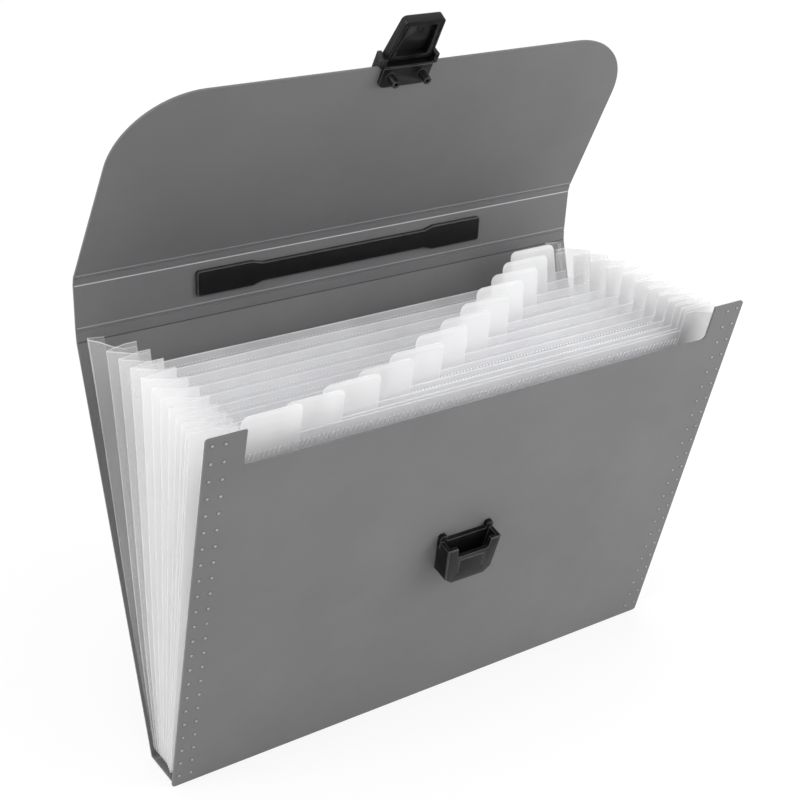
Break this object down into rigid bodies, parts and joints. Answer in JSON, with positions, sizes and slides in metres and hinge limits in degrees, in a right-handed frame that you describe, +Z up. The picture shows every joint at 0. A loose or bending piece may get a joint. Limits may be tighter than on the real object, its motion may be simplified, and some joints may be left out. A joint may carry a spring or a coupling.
{
  "type": "expanding file",
  "caption": "Expanding document file: grey scored plastic cover with folding flap, latch and handle, and fanned clear film pockets with stepped index tabs.",
  "frame": {"origin": "middle of the spine's underside, where the file stands", "axes": "+Z up, +Y from the front cover to the back cover, X across the file"},
  "size_m": [0.33, 0.1787, 0.3941],
  "materials": {
    "cover_sheet": "satin, fine leather-like grain",
    "clear_film": "clear frosted film",
    "tab_film": "milky film",
    "black_plastic": "satin moulded"
  },
  "bodies": {
    "base": {"spine": "cover_sheet", "pocket_floor": "clear_film"},
    "front_cover": {"front_cover": "cover_sheet", "catch_body": "black_plastic", "catch_backing_plate": "black_plastic", "catch_rivets": "black_plastic", "gusset_01": "clear_film"},
    "back_cover": {"back_cover": "cover_sheet", "gusset_13": "clear_film"},
    "top_strip": {"top_strip": "cover_sheet", "handle_backing_plate": "black_plastic", "handle_grip": "black_plastic"},
    "flap": {"flap": "cover_sheet", "latch_base": "black_plastic", "latch_pin": "black_plastic", "latch_clamp_plate": "black_plastic"},
    "latch_lever": {"latch_lever": "black_plastic"},
    "divider_01": {"divider_01": "clear_film", "tab_01": "tab_film", "gusset_02": "clear_film"},
    "divider_02": {"divider_02": "clear_film", "tab_02": "tab_film", "gusset_03": "clear_film"},
    "divider_03": {"divider_03": "clear_film", "tab_03": "tab_film", "gusset_04": "clear_film"},
    "divider_04": {"divider_04": "clear_film", "tab_04": "tab_film", "gusset_05": "clear_film"},
    "divider_05": {"divider_05": "clear_film", "tab_05": "tab_film", "gusset_06": "clear_film"},
    "divider_06": {"divider_06": "clear_film", "tab_06": "tab_film", "gusset_07": "clear_film"},
    "divider_07": {"divider_07": "clear_film", "tab_07": "tab_film", "gusset_08": "clear_film"},
    "divider_08": {"divider_08": "clear_film", "tab_08": "tab_film", "gusset_09": "clear_film"},
    "divider_09": {"divider_09": "clear_film", "tab_09": "tab_film"},
    "divider_10": {"divider_10": "clear_film", "tab_10": "tab_film", "gusset_10": "clear_film"},
    "divider_11": {"divider_11": "clear_film", "tab_11": "tab_film", "gusset_11": "clear_film"},
    "divider_12": {"divider_12": "clear_film", "tab_12": "tab_film", "gusset_12": "clear_film"}
  },
  "joints": [
    {"name": "back_cover_fold", "type": "hinge", "parent": "base", "child": "back_cover", "pos_m": [0, 0.015, 0.0006], "axis": [1, 0, 0], "range_deg": [0, 13.9], "deforming": ["gusset_13"]},
    {"name": "front_cover_fold", "type": "hinge", "parent": "base", "child": "front_cover", "pos_m": [0, -0.015, 0.0006], "axis": [-1, 0, 0], "range_deg": [0, 16.2], "deforming": ["gusset_01"]},
    {"name": "divider_01_fold", "type": "hinge", "parent": "base", "child": "divider_01", "pos_m": [0, -0.01269, 0.0019], "axis": [-1, 0, 0], "range_deg": [0, 13.19], "deforming": ["gusset_02"]},
    {"name": "divider_02_fold", "type": "hinge", "parent": "base", "child": "divider_02", "pos_m": [0, -0.01039, 0.0019], "axis": [-1, 0, 0], "range_deg": [0, 12.96], "deforming": ["gusset_03"]},
    {"name": "divider_03_fold", "type": "hinge", "parent": "base", "child": "divider_03", "pos_m": [0, -0.00808, 0.0019], "axis": [-1, 0, 0], "range_deg": [0, 12.32], "deforming": ["gusset_04"]},
    {"name": "divider_04_fold", "type": "hinge", "parent": "base", "child": "divider_04", "pos_m": [0, -0.00577, 0.0019], "axis": [-1, 0, 0], "range_deg": [0, 11.3], "deforming": ["gusset_05"]},
    {"name": "divider_05_fold", "type": "hinge", "parent": "base", "child": "divider_05", "pos_m": [0, -0.00346, 0.0019], "axis": [-1, 0, 0], "range_deg": [0, 9.93], "deforming": ["gusset_06"]},
    {"name": "divider_06_fold", "type": "hinge", "parent": "base", "child": "divider_06", "pos_m": [0, -0.00115, 0.0019], "axis": [-1, 0, 0], "range_deg": [0, 8.21], "deforming": ["gusset_07"]},
    {"name": "divider_07_fold", "type": "hinge", "parent": "base", "child": "divider_07", "pos_m": [0, 0.00115, 0.0019], "axis": [-1, 0, 0], "range_deg": [0, 6.15], "deforming": ["gusset_08"]},
    {"name": "divider_08_fold", "type": "hinge", "parent": "base", "child": "divider_08", "pos_m": [0, 0.00346, 0.0019], "axis": [-1, 0, 0], "range_deg": [0, 3.75], "deforming": ["gusset_09"]},
    {"name": "divider_09_fold", "type": "hinge", "parent": "base", "child": "divider_09", "pos_m": [0, 0.00577, 0.0019], "axis": [-1, 0, 0], "range_deg": [0, 1.03]},
    {"name": "divider_10_fold", "type": "hinge", "parent": "base", "child": "divider_10", "pos_m": [0, 0.00808, 0.0019], "axis": [1, 0, 0], "range_deg": [0, 2.02], "deforming": ["gusset_10"]},
    {"name": "divider_11_fold", "type": "hinge", "parent": "base", "child": "divider_11", "pos_m": [0, 0.01039, 0.0019], "axis": [1, 0, 0], "range_deg": [0, 5.39], "deforming": ["gusset_11"]},
    {"name": "divider_12_fold", "type": "hinge", "parent": "base", "child": "divider_12", "pos_m": [0, 0.01269, 0.0019], "axis": [1, 0, 0], "range_deg": [0, 9.08], "deforming": ["gusset_12"]},
    {"name": "strip_fold", "type": "hinge", "parent": "back_cover", "child": "top_strip", "pos_m": [0, 0.0715, 0.23513], "axis": [1, 0, 0], "range_deg": [0, 61]},
    {"name": "flap_fold", "type": "hinge", "parent": "top_strip", "child": "flap", "pos_m": [0, 0.06762, 0.26565], "axis": [1, 0, 0], "range_deg": [0, 66.7]},
    {"name": "lever_hinge", "type": "hinge", "parent": "flap", "child": "latch_lever", "pos_m": [0, 0.00529, 0.3716], "axis": [-1, 0, 0], "range_deg": [0, 90]}
  ],
  "couplings": [
    {"joint": "front_cover_fold", "follows": "back_cover_fold", "ratio": 1.1655},
    {"joint": "divider_01_fold", "follows": "back_cover_fold", "ratio": 0.94892},
    {"joint": "divider_02_fold", "follows": "back_cover_fold", "ratio": 0.93209},
    {"joint": "divider_03_fold", "follows": "back_cover_fold", "ratio": 0.88611},
    {"joint": "divider_04_fold", "follows": "back_cover_fold", "ratio": 0.81317},
    {"joint": "divider_05_fold", "follows": "back_cover_fold", "ratio": 0.71446},
    {"joint": "divider_06_fold", "follows": "back_cover_fold", "ratio": 0.59065},
    {"joint": "divider_07_fold", "follows": "back_cover_fold", "ratio": 0.44237},
    {"joint": "divider_08_fold", "follows": "back_cover_fold", "ratio": 0.27},
    {"joint": "divider_09_fold", "follows": "back_cover_fold", "ratio": 0.073884},
    {"joint": "divider_10_fold", "follows": "back_cover_fold", "ratio": 0.14554},
    {"joint": "divider_11_fold", "follows": "back_cover_fold", "ratio": 0.38813},
    {"joint": "divider_12_fold", "follows": "back_cover_fold", "ratio": 0.65353},
    {"joint": "strip_fold", "follows": "back_cover_fold", "ratio": 4.3885}
  ]
}
